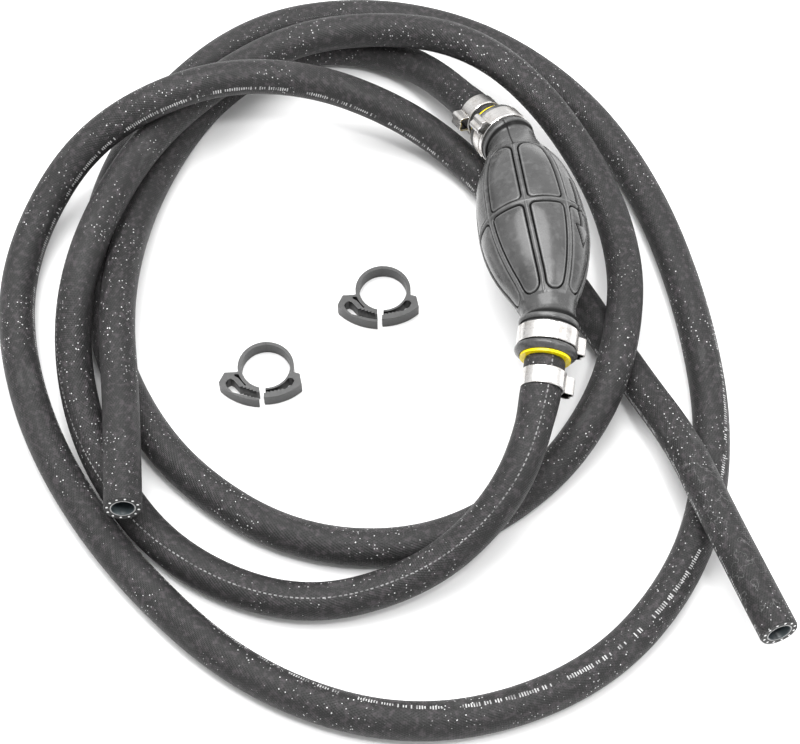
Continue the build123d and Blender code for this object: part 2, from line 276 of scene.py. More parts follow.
def drop_rings(s, along):
    """Thin rings that a few dried drops have left."""
    drops = s.voronoi(along, 38.0)
    ring_width = s.math("ABSOLUTE", s.math("SUBTRACT", drops.outputs["Distance"], 0.045))
    picked = s.node("ShaderNodeSeparateXYZ", Vector=drops.outputs["Color"])
    few = s.math("GREATER_THAN", picked.outputs[0], 0.93)
    return s.math("MULTIPLY", s.math("LESS_THAN", ring_width, 0.012), few)


def printed_line(s, along, across, down):
    """Faded ink along the hose: a thin dashed line up to DASHED_UNTIL, then groups of plain ticks."""
    cell = s.math("FLOOR", s.math("DIVIDE", down, MARK_CELL))
    chance = s.node("ShaderNodeTexWhiteNoise", {"noise_dimensions": "1D"}, W=cell).outputs["Value"]
    group = s.math("FRACT", s.math("DIVIDE", down, MARK_GROUP))
    bar = s.math("LESS_THAN", s.math("FRACT", s.math("DIVIDE", down, MARK_CELL)), 0.5)
    shown = s.math("MULTIPLY", s.math("GREATER_THAN", chance, 0.22), bar)
    shown = s.math("MULTIPLY", shown, s.math("LESS_THAN", group, 0.84))
    height = s.math("ADD", 0.0007, s.math("MULTIPLY", s.math("GREATER_THAN", chance, 0.6), 0.0003))
    inside = s.math("LESS_THAN", s.math("ABSOLUTE", across), height)
    faded = s.band(s.noise(along, 240.0, 2.0), 0.3, 0.6, (0.2, 0.7))
    ticks = s.math("MULTIPLY", shown, inside)
    dash = s.math("LESS_THAN", s.math("FRACT", s.math("DIVIDE", down, DASH_PITCH)), 0.58)
    dash = s.math("MULTIPLY", dash, s.math("LESS_THAN", s.math("ABSOLUTE", across), 0.00028))
    first_turn = s.math("LESS_THAN", down, DASHED_UNTIL)
    ticks = s.math("MULTIPLY", ticks, s.math("SUBTRACT", 1.0, first_turn))
    line = s.math("ADD", ticks, s.math("MULTIPLY", s.math("MULTIPLY", dash, 0.5), first_turn))
    return s.math("MULTIPLY", line, faded)


def scrapes(s, along, down):
    """Thin pale scrapes near the long hose's free end."""
    scrape = s.math("ABSOLUTE", s.math("SUBTRACT", s.noise(along, 130.0, 3.0), 0.56))
    scrape = s.band(scrape, 0.010, 0.004)
    return s.math("MULTIPLY", scrape, s.math("GREATER_THAN", down, SCRAPED_FROM))


def hose_material():
    """Cloth-wrapped rubber: fine diagonal texture, a painted mottled sheen, dust, drops, scuffs and a line
    of plain marks.
    """
    s = Shader("hose_rubber")
    along = s.attribute("rest").outputs["Vector"]
    mark = s.node("ShaderNodeSeparateXYZ", Vector=s.attribute("mark").outputs["Vector"])
    across, down, angle = mark.outputs[0], mark.outputs[1], mark.outputs[2]
    turns = 42
    pitch = 0.0021
    lean = s.math("MULTIPLY", down, tau / pitch)
    swept = s.math("MULTIPLY", angle, float(turns))
    left = s.math("SINE", s.math("ADD", swept, lean))
    right = s.math("SINE", s.math("SUBTRACT", swept, lean))
    weave = s.math("ADD", s.math("MULTIPLY", left, right), s.math("MULTIPLY", left, 0.7))
    grain = s.noise(along, 900.0, 2.0)
    cloud = s.noise(along, 22.0, 3.0)
    worn = s.noise(s.scaled(along, (1, 1, 0.35)), 110.0, 4.0, 0.65)
    base = s.mix(cloud, grey(0.010), grey(0.020))
    base = s.mix(s.band(weave, -1.2, 1.6, (0.0, 0.30)), base, grey(0.045))
    base = s.mix(s.band(worn, 0.56, 0.72, (0.0, 0.30)), base, grey(0.09))
    # painted sheen: lighter patches stand for the rubber's mottled highlights; their purple-brown tint is
    # the rubber's own
    mottled_sheen = s.band(s.noise(along, 380.0, 3.0, 0.6), 0.46, 0.70, (0.0, 0.6))
    base = s.mix(mottled_sheen, base, (0.062, 0.054, 0.059, 1))
    dust = dust_specks(s, along)
    base = s.mix(s.math("MULTIPLY", dust, 0.85), base, grey(0.70))
    drop = drop_rings(s, along)
    base = s.mix(s.math("MULTIPLY", drop, 0.5), base, grey(0.5))
    base = s.mix(printed_line(s, along, across, down), base, grey(0.60))
    base = s.mix(s.math("MULTIPLY", scrapes(s, along, down), 0.12), base, grey(0.45))
    bump = s.bump(weave, 0.00007, 0.8)
    bump = s.bump(grain, 0.00006, 0.5, bump)
    bump = s.bump(s.math("ADD", dust, drop), 0.00015, 0.6, bump)
    rough = s.band(worn, 0.3, 0.75, (0.44, 0.62))
    return s.finish(Base_Color=base, Roughness=rough, Normal=bump, Specular_IOR_Level=0.22)


def cut_material():
    """Cut end of a hose: pale liner, a ring of white reinforcing yarns, black cover."""
    s = Shader("hose_cut_face")
    place = s.node("ShaderNodeSeparateXYZ", Vector=s.attribute("rest").outputs["Vector"])
    x, y = place.outputs[0], place.outputs[1]
    radius = s.math("SQRT", s.math("ADD", s.math("MULTIPLY", x, x), s.math("MULTIPLY", y, y)))
    angle = s.math("ARCTAN2", y, x)
    yarns = 12
    step = tau / yarns
    turn = s.math("SUBTRACT", s.math("FRACT", s.math("DIVIDE", s.math("ADD", angle, pi), step)), 0.5)
    yarn_ring = 6.8 * MM
    sideways = s.math("MULTIPLY", turn, step * yarn_ring)
    outwards = s.math("SUBTRACT", radius, yarn_ring)
    distance = s.math("SQRT", s.math("ADD", s.math("MULTIPLY", sideways, sideways),
                                     s.math("MULTIPLY", outwards, outwards)))
    fray = s.noise(s.attribute("rest").outputs["Vector"], 1500.0, 2.0)
    yarn = s.band(s.math("ADD", distance, s.math("MULTIPLY", fray, 0.0004)), 0.00085, 0.00060)
    liner = s.band(s.math("ADD", radius, s.math("MULTIPLY", fray, 0.0003)), 0.00575, 0.00545)
    base = s.mix(fray, grey(0.012), grey(0.03))
    base = s.mix(s.math("MULTIPLY", liner, 0.85), base, grey(0.42))
    base = s.mix(yarn, base, grey(0.80))
    bump = s.bump(s.math("ADD", fray, yarn), 0.0001, 0.8)
    return s.finish(Base_Color=base, Roughness=0.7, Normal=bump)


def bulb_material():
    """Satin moulded rubber, faintly clouded, with painted shade in its grooves and painted highlights on its
    edges.
    """
    s = Shader("bulb_rubber")
    place = s.coordinates()
    groove = s.attribute("groove").outputs["Fac"]
    edge = s.attribute("edge").outputs["Fac"]
    cloud = s.noise(place, 55.0, 4.0, 0.6)
    blotch = s.noise(place, 260.0, 3.0, 0.6)
    base = s.mix(s.band(cloud, 0.3, 0.7), grey(0.040), grey(0.068))
    base = s.mix(s.band(blotch, 0.52, 0.75, (0.0, 0.5)), base, grey(0.13))
    # painted highlights on the panels' rims, the rib crests, the raised arrow and the necks' collars
    base = s.mix(s.math("MULTIPLY", edge, 0.5), base, grey(0.20))
    # painted shade: the grooves, the seam, the mouths' insides and the lines beside the bands go almost
    # black
    base = s.mix(groove, base, grey(0.004))
    gleam = s.band(groove, 0.1, 0.6, (0.40, 0.0))
    grain = s.noise(place, 2600.0, 2.0)
    bump = s.bump(grain, 0.00003, 0.6)
    bump = s.bump(blotch, 0.00008, 0.4, bump)
    rough = s.band(blotch, 0.3, 0.8, (0.22, 0.36))
    return s.finish(Base_Color=base, Roughness=rough, Normal=bump, Specular_IOR_Level=gleam)


def steel_material(name, level=0.80):
    """Stainless strip with fine lengthways scratches and a few stains: bright at the default level, dark at
    a low level for painted shade.
    """
    s = Shader(name)
    place = s.coordinates()
    streaks = s.noise(s.scaled(place, (1.0, 9.0, 1.0)), 700.0, 3.0, 0.7)
    stain = s.noise(place, 190.0, 3.0, 0.6)
    base = s.mix(s.band(stain, 0.45, 0.75), grey(level, 0.02), grey(level * 0.72, 0.06))
    rough = s.band(streaks, 0.3, 0.7, (0.24, 0.40))
    bump = s.bump(streaks, 0.00002, 0.4)
    bump = s.bump(stain, 0.00012, 0.35, bump)
    return s.finish(Base_Color=base, Metallic=1.0, Roughness=rough, Normal=bump)


def plastic_material(name, colour, dark, rough, grain_size=1500.0, depth=0.00002):
    s = Shader(name)
    place = s.coordinates()
    cloud = s.noise(place, 120.0, 3.0)
    grain = s.noise(place, grain_size, 2.0)
    base = s.mix(s.band(cloud, 0.35, 0.7), dark, colour)
    roughness = s.band(grain, 0.3, 0.7, (rough - 0.06, rough + 0.08))
    return s.finish(Base_Color=base, Roughness=roughness, Normal=s.bump(grain, depth, 0.5))


def floor_material():
    s = Shader("floor")
    cloud = s.noise(s.coordinates(), 3.0, 2.0)
    return s.finish(Base_Color=s.mix(cloud, grey(0.80), grey(0.84)), Roughness=0.85)


MATERIALS = {
    "hose": hose_material(),
    "cut": cut_material(),
    "bore": plastic_material("hose_bore", (0.05, 0.065, 0.07, 1), (0.02, 0.026, 0.03, 1), 0.35),
    "bulb": bulb_material(),
    "steel": steel_material("stainless_band"),
    # dark copy of the band's steel: painted shade inside the ears' loops
    "shade": steel_material("stainless_ear_painted_shade", 0.06),
    "spring": steel_material("spring_wire", 0.6),
    "yellow": plastic_material("valve_acetal", (1.0, 0.80, 0.0, 1), (0.95, 0.70, 0.0, 1), 0.30),
    "white": plastic_material("poppet_acetal", grey(0.75, 0.02), grey(0.68, 0.02), 0.35),
    "seal": plastic_material("seal_rubber", grey(0.02), grey(0.015), 0.5),
    "nylon": plastic_material("nylon", grey(0.020), grey(0.012), 0.42, 2200.0, 0.00004),
}


# --- hoses ---
AROUND = 40                 # sides of a hose
FITTED_PART = 0.040         # metres from the fitted end: the stretch on and past the barb, with closer rings
FITTED_RINGS = 34
RING_PITCH = 0.0033
BORE_DEPTH = 0.055          # how far in from the free end the bore is modelled
HOSE_LOOKS = ("hose", "cut", "bore")
# Where the printed marks run: metres from the fitted end, degrees from the top towards the left side.
MARK_TURNS = {
    "inlet": [(0, 150), (0.5, 150)],
    "outlet": [
        (0.00, 20), (0.12, 12), (0.22, 15), (0.33, 58), (0.42, 62), (0.52, 120), (0.75, 150), (1.45, 150),
        (1.62, 75), (1.78, 29), (1.93, -20), (2.05, -66), (2.16, -76), (2.40, -80), (2.90, -90),
    ],
}


def hose_radius(along):
    """Outside radius: stretched over the barb, pinched under the clamp, then its own size."""
    flare = 0.78 * MM * (1 - smoothstep(15 * MM, 32 * MM, along))
    pinch = 0.16 * MM * smoothstep(4.6 * MM, 6.2 * MM, along) * (1 - smoothstep(13.4 * MM, 15.2 * MM, along))
    lip = 0.45 * MM * (1 - smoothstep(0, 1.2 * MM, along))
    return HOSE_R + flare - pinch - lip


def make_hose(name, pivot, axis, route):
    path = smooth_line(route_points(name, pivot, axis, route))
    steps = np.linalg.norm(np.diff(path, axis=0), axis=1)
    along = np.concatenate([[0], np.cumsum(steps)])
    total = along[-1]
    fine = np.unique(np.concatenate([
        np.linspace(0, FITTED_PART, FITTED_RINGS),
        np.linspace(FITTED_PART, total - 0.002, ceil(total / RING_PITCH)),
        total - np.array([0.0015, 0.0009, 0.0004, 0.0]),
    ]))
    centre = np.stack([np.interp(fine, along, path[:, axis_index]) for axis_index in range(3)], axis=1)
    tangent = np.gradient(centre, fine, axis=0)
    tangent = tangent / np.linalg.norm(tangent, axis=1, keepdims=True)
    up = np.array([0, 0, 1.0]) - tangent * tangent[:, 2:3]
    up = up / np.linalg.norm(up, axis=1, keepdims=True)
    left = np.cross(up, tangent)
    radius = hose_radius(fine) - 0.35 * MM * smoothstep(total - 0.0009, total, fine)
    angles = np.arange(AROUND) * tau / AROUND
    spokes = np.cos(angles)[None, :, None] * up[:, None] + np.sin(angles)[None, :, None] * left[:, None]
    rings = [centre[:, None] + spokes * radius[:, None, None]]
    rest = [np.stack([np.cos(angles)[None] * radius[:, None], np.sin(angles)[None] * radius[:, None],
                      np.repeat(fine[:, None], AROUND, 1)], axis=2)]
    bore_at = total - np.array([0.0, 0.0005, 0.010, 0.030, BORE_DEPTH])
    bore_r = np.array([BORE_R + 0.3 * MM, BORE_R, BORE_R, BORE_R, BORE_R])
    pick = [int(np.argmin(abs(fine - at))) for at in bore_at]
    rings.append(centre[pick][:, None] + spokes[pick] * bore_r[:, None, None])
    rest.append(np.stack([np.cos(angles)[None] * bore_r[:, None], np.sin(angles)[None] * bore_r[:, None],
                          np.repeat(bore_at[:, None], AROUND, 1)], axis=2))
    vertices = np.concatenate(rings).reshape(-1, 3)
    count = len(fine) + len(pick)
    faces = ring_faces(count, AROUND)
    piece = new_object(f"{name}_hose_rubber", vertices, faces)
    flat_rest = np.concatenate(rest).reshape(-1, 3)
    vector_attribute(piece.data, "rest", flat_rest)
    turn_at, turns = zip(*MARK_TURNS[name])
    marked = np.radians(np.interp(flat_rest[:, 2], turn_at, turns))
    angle = np.arctan2(flat_rest[:, 1], flat_rest[:, 0])
    offset = (angle - marked + pi) % tau - pi
    vector_attribute(piece.data, "mark", np.stack([offset * HOSE_R, flat_rest[:, 2], angle], axis=1))
    for key in HOSE_LOOKS:
        piece.data.materials.append(MATERIALS[key])
    face_ring = len(fine) - 1
    for index, polygon in enumerate(piece.data.polygons):
        ring = index // AROUND
        if ring == face_ring:
            polygon.material_index = HOSE_LOOKS.index("cut")
            polygon.use_smooth = False
        elif ring > face_ring:
            polygon.material_index = HOSE_LOOKS.index("bore")
    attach(piece, "root")
    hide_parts(f"{name}_hose")
    print(f"{name} hose: line {total:.3f} m")


make_hose("inlet", INLET_PIVOT, INLET_AXIS, INLET_ROUTE)
make_hose("outlet", OUTLET_PIVOT, OUTLET_AXIS, OUTLET_ROUTE)

# --- bulb ---
BARREL_AXIS = (OUTLET_PIVOT - INLET_PIVOT).normalized()
BARREL_LENGTH = (OUTLET_PIVOT - INLET_PIVOT).length / MM
BARREL_SIDE = Vector((-BARREL_AXIS.y, BARREL_AXIS.x, 0)).normalized()
# The rest of the bulb's lengths are in millimetres.
BARREL_SHIFT = 1.2          # the barrel's middle, sideways from the line between the pivots
MOUTH = 18.5                # a neck's open end, from its pivot
RIM_R = {"inlet": 13.2, "outlet": 13.9}
NECK_R = 11.6               # the barrel's ends, and the outer edge of a mouth's flat face
BARREL_PROFILE = [      # distance from the inlet pivot and radius
    (0, NECK_R), (4, 12.5), (9.5, 14.9), (16, 18.1), (23, 20.8), (33, 23.0), (45, 24.1), (54, 24.3),
    (63, 23.6), (72, 21.8), (80, 19.2), (87, 16.1), (93, 13.4), (97.5, 12.1), (BARREL_LENGTH, NECK_R),
]
BARREL_SWING = 9.0          # how far from a pivot the rings turn, on its barrel side
NECK_SWING = 2.4            # and on its neck side
RIB_COUNT = 8
RIB_HALF_WIDTH = 1.15
GROOVE_WIDTH = 0.6
RIB_ZONE = (12.5, 94.5)     # where the pattern starts and ends, from the inlet pivot
RING_RIB_AT = 52.5
RIB_PHASE = radians(11.3)
ARROW_TURN = radians(33.8)        # where the arrow lies round the barrel
ARROW_MIDDLE = 54.0
SHAFT_HALF_WIDTH = 1.1
SHAFT_HALF_LENGTH = 15.0
SHAFT_BACK = 3.0                # the shaft's middle, behind the arrow's middle
HEAD_START = 9.5
HEAD_TIP = 18.0
SEAM_TURN = radians(101.3)      # the rib that runs on up the inlet neck as a seam


def neck_profile(rim_r):
    """(distance from the pivot, radius): waist, collar, band seat, rolled rim, mouth."""
    return [
        (0.0, 11.9), (1.1, 12.0), (1.8, 12.5), (2.1, 13.15), (2.6, 13.35), (3.9, 13.35), (4.3, 13.1),
        (4.5, 12.5), (5.0, 12.4), (5.6, 12.5), (10.0, 12.5), (14.2, 12.5), (14.5, rim_r - 1.1),
        (15.0, rim_r - 0.3), (15.7, rim_r), (16.4, rim_r), (17.0, rim_r - 0.25),
        (17.6, rim_r - 0.8), (18.15, rim_r - 1.5), (MOUTH, NECK_R), (MOUTH, 11.24), (17.4, 11.23),
    ]


def catmull(profile, value):
    """Smooth curve through the profile's points."""
    at = np.array([point[0] for point in profile], float)
    heights = np.array([point[1] for point in profile], float)
    slopes = np.gradient(heights, at)
    index = np.clip(np.searchsorted(at, value) - 1, 0, len(at) - 2)
    width = at[index + 1] - at[index]
    t = (value - at[index]) / width
    a, b = heights[index], heights[index + 1]
    ma, mb = slopes[index] * width, slopes[index + 1] * width
    return ((2 * t**3 - 3 * t**2 + 1) * a + (t**3 - 2 * t**2 + t) * ma
            + (-2 * t**3 + 3 * t**2) * b + (t**3 - t**2) * mb)


def arrow_distance(x, y):
    """Signed distance, negative inside, of an arrow that points along +y."""
    shaft = np.maximum(abs(x) - SHAFT_HALF_WIDTH, abs(y + SHAFT_BACK) - SHAFT_HALF_LENGTH)
    slant = abs(x) * 0.90 + (y - HEAD_TIP) * 0.44
    head = np.maximum(slant, HEAD_START - y)
    return np.minimum(shaft, head)


def ridge(distance_from_middle, half_width, ease=0.25):
    """1 on a rib's top and 0 beside it."""
    return 1 - smoothstep(half_width - ease, half_width + 0.1, abs(distance_from_middle))


def panel_distance(panel_x, distance, half_width):
    """Signed distance, negative inside, of the barrel's raised panels above and below the ring rib."""
    gap = RIB_HALF_WIDTH + GROOVE_WIDTH
    panels = []
    for low, high, far_corner in (
        (RIB_ZONE[0] + 0.6, RING_RIB_AT - gap, 5.5), (RING_RIB_AT + gap, RIB_ZONE[1] - 1.0, 4.5),
    ):
        middle = (low + high) / 2
        far_end = (distance < middle) == (high < RING_RIB_AT)
        corner = np.minimum(far_corner if far_end else 2.2, half_width * 0.9)
        qx = abs(panel_x) - half_width + corner
        qy = abs(distance - middle) - (high - low) / 2 + corner
        outside = np.hypot(np.maximum(qx, 0), np.maximum(qy, 0))
        panels.append(outside + np.minimum(np.maximum(qx, qy), 0) - corner)
    return np.minimum(*panels)


def relief(distance, angle, radius):
    """Height of the moulded pattern above the barrel's plain skin, with masks for painted shade in the
    grooves and painted highlights on the edges.
    """
    pitch = tau / RIB_COUNT
    to_rib = (angle - RIB_PHASE + pitch / 2) % pitch - pitch / 2
    rib_x = to_rib * radius
    panel_x = (abs(to_rib) - pitch / 2) * radius
    zone = float(smoothstep(RIB_ZONE[0] - 1.2, RIB_ZONE[0] + 0.3, distance))
    zone = zone * float(1 - smoothstep(RIB_ZONE[1] - 0.5, RIB_ZONE[1] + 1.2, distance))
    half_width = pitch / 2 * radius - RIB_HALF_WIDTH - GROOVE_WIDTH
    panel = panel_distance(panel_x, distance, half_width)
    plateau = 1 - smoothstep(-0.22, 0.08, panel)
    crown = 0.35 * smoothstep(0, 7, -panel)
    rib = np.maximum(ridge(rib_x, RIB_HALF_WIDTH), ridge(distance - RING_RIB_AT, RIB_HALF_WIDTH))
    rib = np.maximum(rib, smoothstep(0.5, 0.8, panel))
    crest = np.maximum(ridge(rib_x, 0.45, 0.4), ridge(distance - RING_RIB_AT, 0.45, 0.4))
    height = -0.7 + plateau * (0.75 + crown) + rib * (1 - plateau) * (1.05 + 0.3 * crest)
    arrow_x = ((angle - ARROW_TURN + pi) % tau - pi) * radius
    arrow = arrow_distance(-arrow_x, distance - ARROW_MIDDLE)
    raised = 1 - smoothstep(-0.3, 0.1, arrow)
    moat = smoothstep(-0.05, 0.15, arrow) * (1 - smoothstep(0.55, 0.8, arrow))
    height = height + 0.5 * raised - 0.4 * moat
    # painted shade in the grooves and the arrow's moat; painted highlights on the panels' rims, the rib
    # crests and the raised arrow
    groove = np.maximum((1 - plateau) * (1 - rib), moat)
    lit_edge = smoothstep(-1.1, -0.6, panel) * (1 - smoothstep(-0.5, -0.2, panel))
    edge = np.maximum(lit_edge * 0.8, np.maximum(crest * (1 - plateau) * 0.7, raised * 0.5))
    return height * zone, groove * zone, edge * zone


def rib_angles(radius):
    """Turns of one ring's vertices: close together at each rib's edges and grooves, wider on the panels."""
    pitch = tau / RIB_COUNT
    edge = RIB_HALF_WIDTH / radius
    groove = (RIB_HALF_WIDTH + GROOVE_WIDTH) / radius
    fine = 1 / radius
    marks = [0, 0.35 * fine, 0.6 * fine, edge - 0.3 * fine, edge - 0.08 * fine, edge + 0.12 * fine]
    marks += [(edge + groove) / 2, groove - 0.1 * fine, groove + 0.1 * fine, groove + 0.35 * fine]
    marks += list(np.linspace(groove + 0.7 * fine, pitch / 2, 13))
    half = np.array(marks)
    whole = np.concatenate([-half[:0:-1], half[:-1]])
    return np.concatenate([RIB_PHASE + index * pitch + whole for index in range(RIB_COUNT)])


def ring_distances():
    """Places of the barrel's rings, close together where the pattern turns across them."""
    coarse = np.arange(0.6, BARREL_LENGTH - 0.4, 0.6)
    gap = RIB_HALF_WIDTH + GROOVE_WIDTH
    close = [
        RING_RIB_AT + side * at
        for side in (-1, 1)
        for at in (0.35, 0.6, 0.85, 1.07, 1.27, 1.45, gap - 0.1, gap + 0.1, gap + 0.35, gap + 0.7, gap + 1.1)
    ]
    ends = list(np.arange(RIB_ZONE[0] - 1.2, RIB_ZONE[0] + 3.0, 0.25))
    ends += list(np.arange(RIB_ZONE[1] - 3.2, RIB_ZONE[1] + 1.2, 0.25))
    spare = [at for at in coarse if abs(at - RING_RIB_AT) - gap - 1.1 > 0.2]
    spare = [at for at in spare if not any(abs(at - other) < 0.2 for other in ends)]
    return sorted([*spare, *close, RING_RIB_AT, *ends])


def bulb_stations():
    """Distances of the bulb's rings, from one mouth to the other, and the profile point of each."""
    rings = []
    for distance, radius in reversed(neck_profile(RIM_R["inlet"])):
        rings.append(("inlet", distance, radius))
    for distance in ring_distances():
        rings.append(("barrel", distance, float(catmull(BARREL_PROFILE, np.array(distance)))))
    for distance, radius in neck_profile(RIM_R["outlet"]):
        rings.append(("outlet", distance, radius))
    return rings


def ring_frame(zone, distance):
    """Centre, X and Y of one ring.  Near a pivot the frame swings from the barrel's axis to the neck's."""
    spots = {"inlet": (INLET_PIVOT, -INLET_AXIS), "outlet": (OUTLET_PIVOT, OUTLET_AXIS)}
    if zone == "barrel":
        shift = BARREL_SHIFT * float(smoothstep(0, 16, min(distance, BARREL_LENGTH - distance)))
        centre = INLET_PIVOT + (BARREL_AXIS * distance + BARREL_SIDE * shift) * MM
        near = "inlet" if distance < BARREL_LENGTH / 2 else "outlet"
        gap = distance if near == "inlet" else BARREL_LENGTH - distance
        share = 0.5 * float(1 - smoothstep(0, BARREL_SWING, gap))
    else:
        pivot, axis = spots[zone]
        sign = -1 if zone == "inlet" else 1
        centre = pivot + axis * sign * distance * MM
        near = zone
        share = 1 - 0.5 * float(1 - smoothstep(0, NECK_SWING, distance))
    axis = BARREL_AXIS.lerp(spots[near][1], share).normalized()
    x = (BARREL_SIDE - axis * BARREL_SIDE.dot(axis)).normalized()
    return centre, x, axis.cross(x)


def make_bulb():
    vertices, grooves, edges = [], [], []
    stations = bulb_stations()
    for zone, distance, radius in stations:
        centre, x, y = ring_frame(zone, distance)
        angles = rib_angles(max(radius, NECK_R))
        height = np.zeros(len(angles))
        groove = np.zeros(len(angles))
        edge = np.zeros(len(angles))
        if zone == "barrel":
            height, groove, edge = relief(distance, angles, radius)
        seam = 1 - smoothstep(0.15, 0.5, abs((angles - SEAM_TURN) * radius))
        # the seam: a shallow groove, with painted shade along it
        if (zone == "inlet" and distance < 4.4) or (zone == "barrel" and distance < RIB_ZONE[0] + 1):
            height = height - 0.25 * seam
            groove = np.maximum(groove, 0.8 * seam)
        # on the necks: painted shade inside the mouths and in lines beside the bands, and a painted
        # highlight on each collar
        if zone != "barrel":
            inside_mouth = distance > 17 and radius < 11.5
            beside_band = 1.0 <= distance <= 1.9 or 4.4 <= distance <= 5.2 or 14.1 < distance < 14.6
            groove = np.maximum(groove, 1.0 if inside_mouth else 0.8 * beside_band)
            edge = np.maximum(edge, 0.5 if 2.1 < distance < 2.7 else 0.0)
        spoke = np.cos(angles)[:, None] * np.array(x) + np.sin(angles)[:, None] * np.array(y)
        vertices.append(np.array(centre) + spoke * (radius + height)[:, None] * MM)
        grooves.append(groove)
        edges.append(edge)
    faces = ring_faces(len(stations), len(vertices[0]))
    piece = new_object("bulb_moulding", np.concatenate(vertices), faces)
    float_attribute(piece.data, "groove", np.concatenate(grooves))
    float_attribute(piece.data, "edge", np.concatenate(edges))
    piece.data.materials.append(MATERIALS["bulb"])
    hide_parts("bulb")
    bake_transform(piece)


bpy.context.view_layer.update()
make_bulb()

# --- ear clamps ---
# Sizes in millimetres, turns in degrees from the ear.
BAND = 0.8                  # the strip's thickness
EASE = 0.18                 # its eased edges
NECK_BAND = (6.0, 14.0)
HOSE_BAND = (25.5, 33.5)
NECK_SEAT_R = 12.53
HOSE_SEAT_R = 8.9
EAR_OUT = 4.6
EAR_HALF = 3.5
EAR_GAP = {NECK_SEAT_R: 17, HOSE_SEAT_R: 24}      # half the turn that the ear takes up
LAP_TURN = 78
TONGUE_TURN = 46
HOOKS_BEFORE_LAP_END = (16, 34)
HOOK_BEFORE_EAR = 58
STRIP_STEPS = 96
SECTION_SIDES = 10          # faces round one length of strip; the last two are on its inner side
OUTLET_EAR = Vector((0.93, 0, -0.37))


def strip(name, line, width, thickness, matrix):
    """Flat strip bent along a line of (x, y) points in its own plane, with eased edges."""
    line = np.array(line, float)
    tangent = np.gradient(line, axis=0)
    tangent = tangent / np.linalg.norm(tangent, axis=1, keepdims=True)
    normal = np.stack([tangent[:, 1], -tangent[:, 0]], axis=1)
    half = width / 2
    section = [
        (0, -half + EASE), (EASE, -half), (thickness - EASE, -half), (thickness, -half + EASE),
        (thickness, -half * 0.4), (thickness, half * 0.4),
        (thickness, half - EASE), (thickness - EASE, half), (EASE, half), (0, half - EASE),
    ]
    vertices = []
    for point, out in zip(line, normal):
        for depth, height in section:
            place = point + out * depth
            vertices.append(matrix @ Vector((place[0] * MM, place[1] * MM, height * MM)))
    piece = new_object(name, vertices, ring_faces(len(line), len(section)))
    bevel_smooth(piece)
    return piece


def bevel_smooth(piece, angle=35):
    piece.data.shade_smooth()
    piece.data.set_sharp_from_angle(angle=radians(angle))


def arc_points(centre, radius, start, end, steps):
    turns = np.radians(np.linspace(start, end, steps))
    return [(centre[0] + radius * cos(turn), centre[1] + radius * sin(turn)) for turn in turns]


def ear_line(seat_r):
    """The band's own line where it rises into the ear and comes back down, +X outwards."""
    base = seat_r + BAND
    top = base + EAR_OUT - BAND
    corner = 1.1
    half = EAR_HALF - BAND
    foot = np.sqrt(base**2 - (half + corner) ** 2)
    line = arc_points((foot + corner, -half - corner), corner, 180, 90, 6)
    line += arc_points((top - corner, -half + corner), corner, -90, 0, 6)
    dimple = 0.55
    line += [(top - dimple * (1 - (y / (half - corner)) ** 2), y) for y in np.linspace(-1.4, 1.4, 7)]
    line += arc_points((top - corner, half - corner), corner, 0, 90, 6)
    line += arc_points((foot + corner, half + corner), corner, -90, -180, 6)
    return line


def make_clamp(name, pivot, axis, ear, seat_r, band):
    width = band[1] - band[0]
    centre = pivot + axis * (band[0] + band[1]) / 2 * MM
    matrix = axes_matrix(centre, axis, ear)
    inner = arc_points((0, 0), seat_r, 0, 360, STRIP_STEPS)
    ring = closed_band(f"{name}_band", inner, width, BAND, matrix)
    gap = EAR_GAP[seat_r]
    lap_end = gap + LAP_TURN
    outer = arc_points((0, 0), seat_r + BAND, gap, lap_end, 36)
    lap = strip(f"{name}_lap", outer, width, BAND * 0.55, matrix)
    tongue = strip(f"{name}_tongue", arc_points((0, 0), seat_r + BAND, -gap - TONGUE_TURN, -gap, 24),
                   width * 0.42, BAND * 0.5, matrix)
    loop = strip(f"{name}_ear", ear_line(seat_r), width, BAND, matrix)
    # the ear loop's inner faces take the dark steel: painted shade inside the loop
    for face in loop.data.polygons:
        face.material_index = int(face.index % SECTION_SIDES >= SECTION_SIDES - 2)
    pieces = [ring, lap, tongue, loop]
    hooks = [lap_end - before for before in HOOKS_BEFORE_LAP_END] + [-gap - HOOK_BEFORE_EAR]
    for turn in hooks:
        pieces.append(make_dimple(f"{name}_hook_{turn:.0f}".replace("-", "m"), seat_r + BAND, turn, matrix))
    whole = join(f"{name}_steel", pieces)
    whole.data.materials.append(MATERIALS["steel"])
    # second slot: the dark steel of the painted shade
    whole.data.materials.append(MATERIALS["shade"])
    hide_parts(name)


def closed_band(name, line, width, thickness, matrix):
    """Full ring of strip with eased edges."""
    half = width / 2
    radius = hypot(*line[0])
    section = [
        (0, -half + EASE), (EASE, -half), (thickness - EASE, -half), (thickness, -half + EASE),
        (thickness, half - EASE), (thickness - EASE, half), (EASE, half), (0, half - EASE),
    ]
    vertices, faces = [], []
    count = len(line) - 1
    for x, y in line[:-1]:
        for depth, height in section:
            scale = (radius + depth) / radius
            vertices.append(matrix @ Vector((x * scale * MM, y * scale * MM, height * MM)))
    size = len(section)
    for index in range(count):
        for step in range(size):
            a, b = index * size + step, index * size + (step + 1) % size
            c, d = (index + 1) % count * size + (step + 1) % size, (index + 1) % count * size + step
            faces.append((a, d, c, b))
    piece = new_object(name, vertices, faces)
    bevel_smooth(piece)
    return piece


